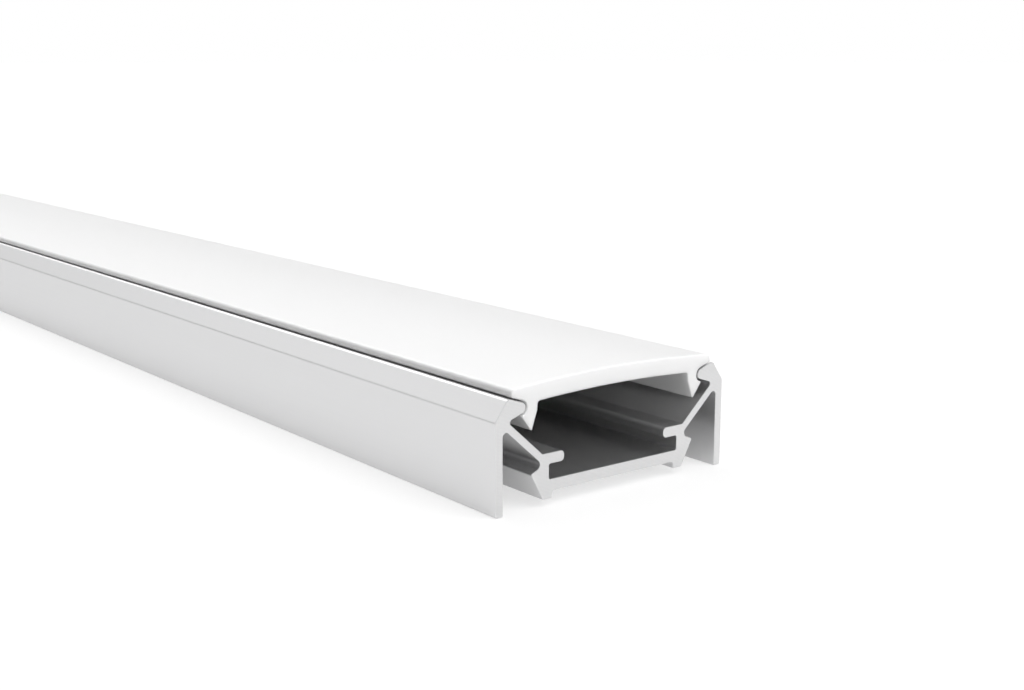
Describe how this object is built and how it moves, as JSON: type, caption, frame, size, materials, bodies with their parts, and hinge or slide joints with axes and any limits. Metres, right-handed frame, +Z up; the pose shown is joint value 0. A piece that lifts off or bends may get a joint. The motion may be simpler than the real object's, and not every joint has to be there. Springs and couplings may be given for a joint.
{
  "type": "led strip aluminium profile",
  "caption": "Extruded aluminium profile for an LED strip: slim side legs, raised strip channel on slanting webs, and a crowned opal snap-in cover.",
  "frame": {"origin": "on the surface that the two legs stand on, under the middle of the bar", "axes": "+X across the width, +Y along the bar away from the end that the picture shows, +Z up out of the cover"},
  "size_m": [0.03, 1, 0.0128],
  "materials": {
    "anodised_aluminium": "satin silver anodised, drawn along the bar",
    "opal_plastic": "opal white, lightly frosted"
  },
  "bodies": {
    "profile": {"aluminium_profile": "anodised_aluminium"},
    "cover": {"diffuser_cover": "opal_plastic"}
  },
  "joints": [
    {"name": "cover_slide", "type": "slide", "parent": "profile", "child": "cover", "axis": [0, 1, 0], "range_m": [-1, 1]}
  ]
}
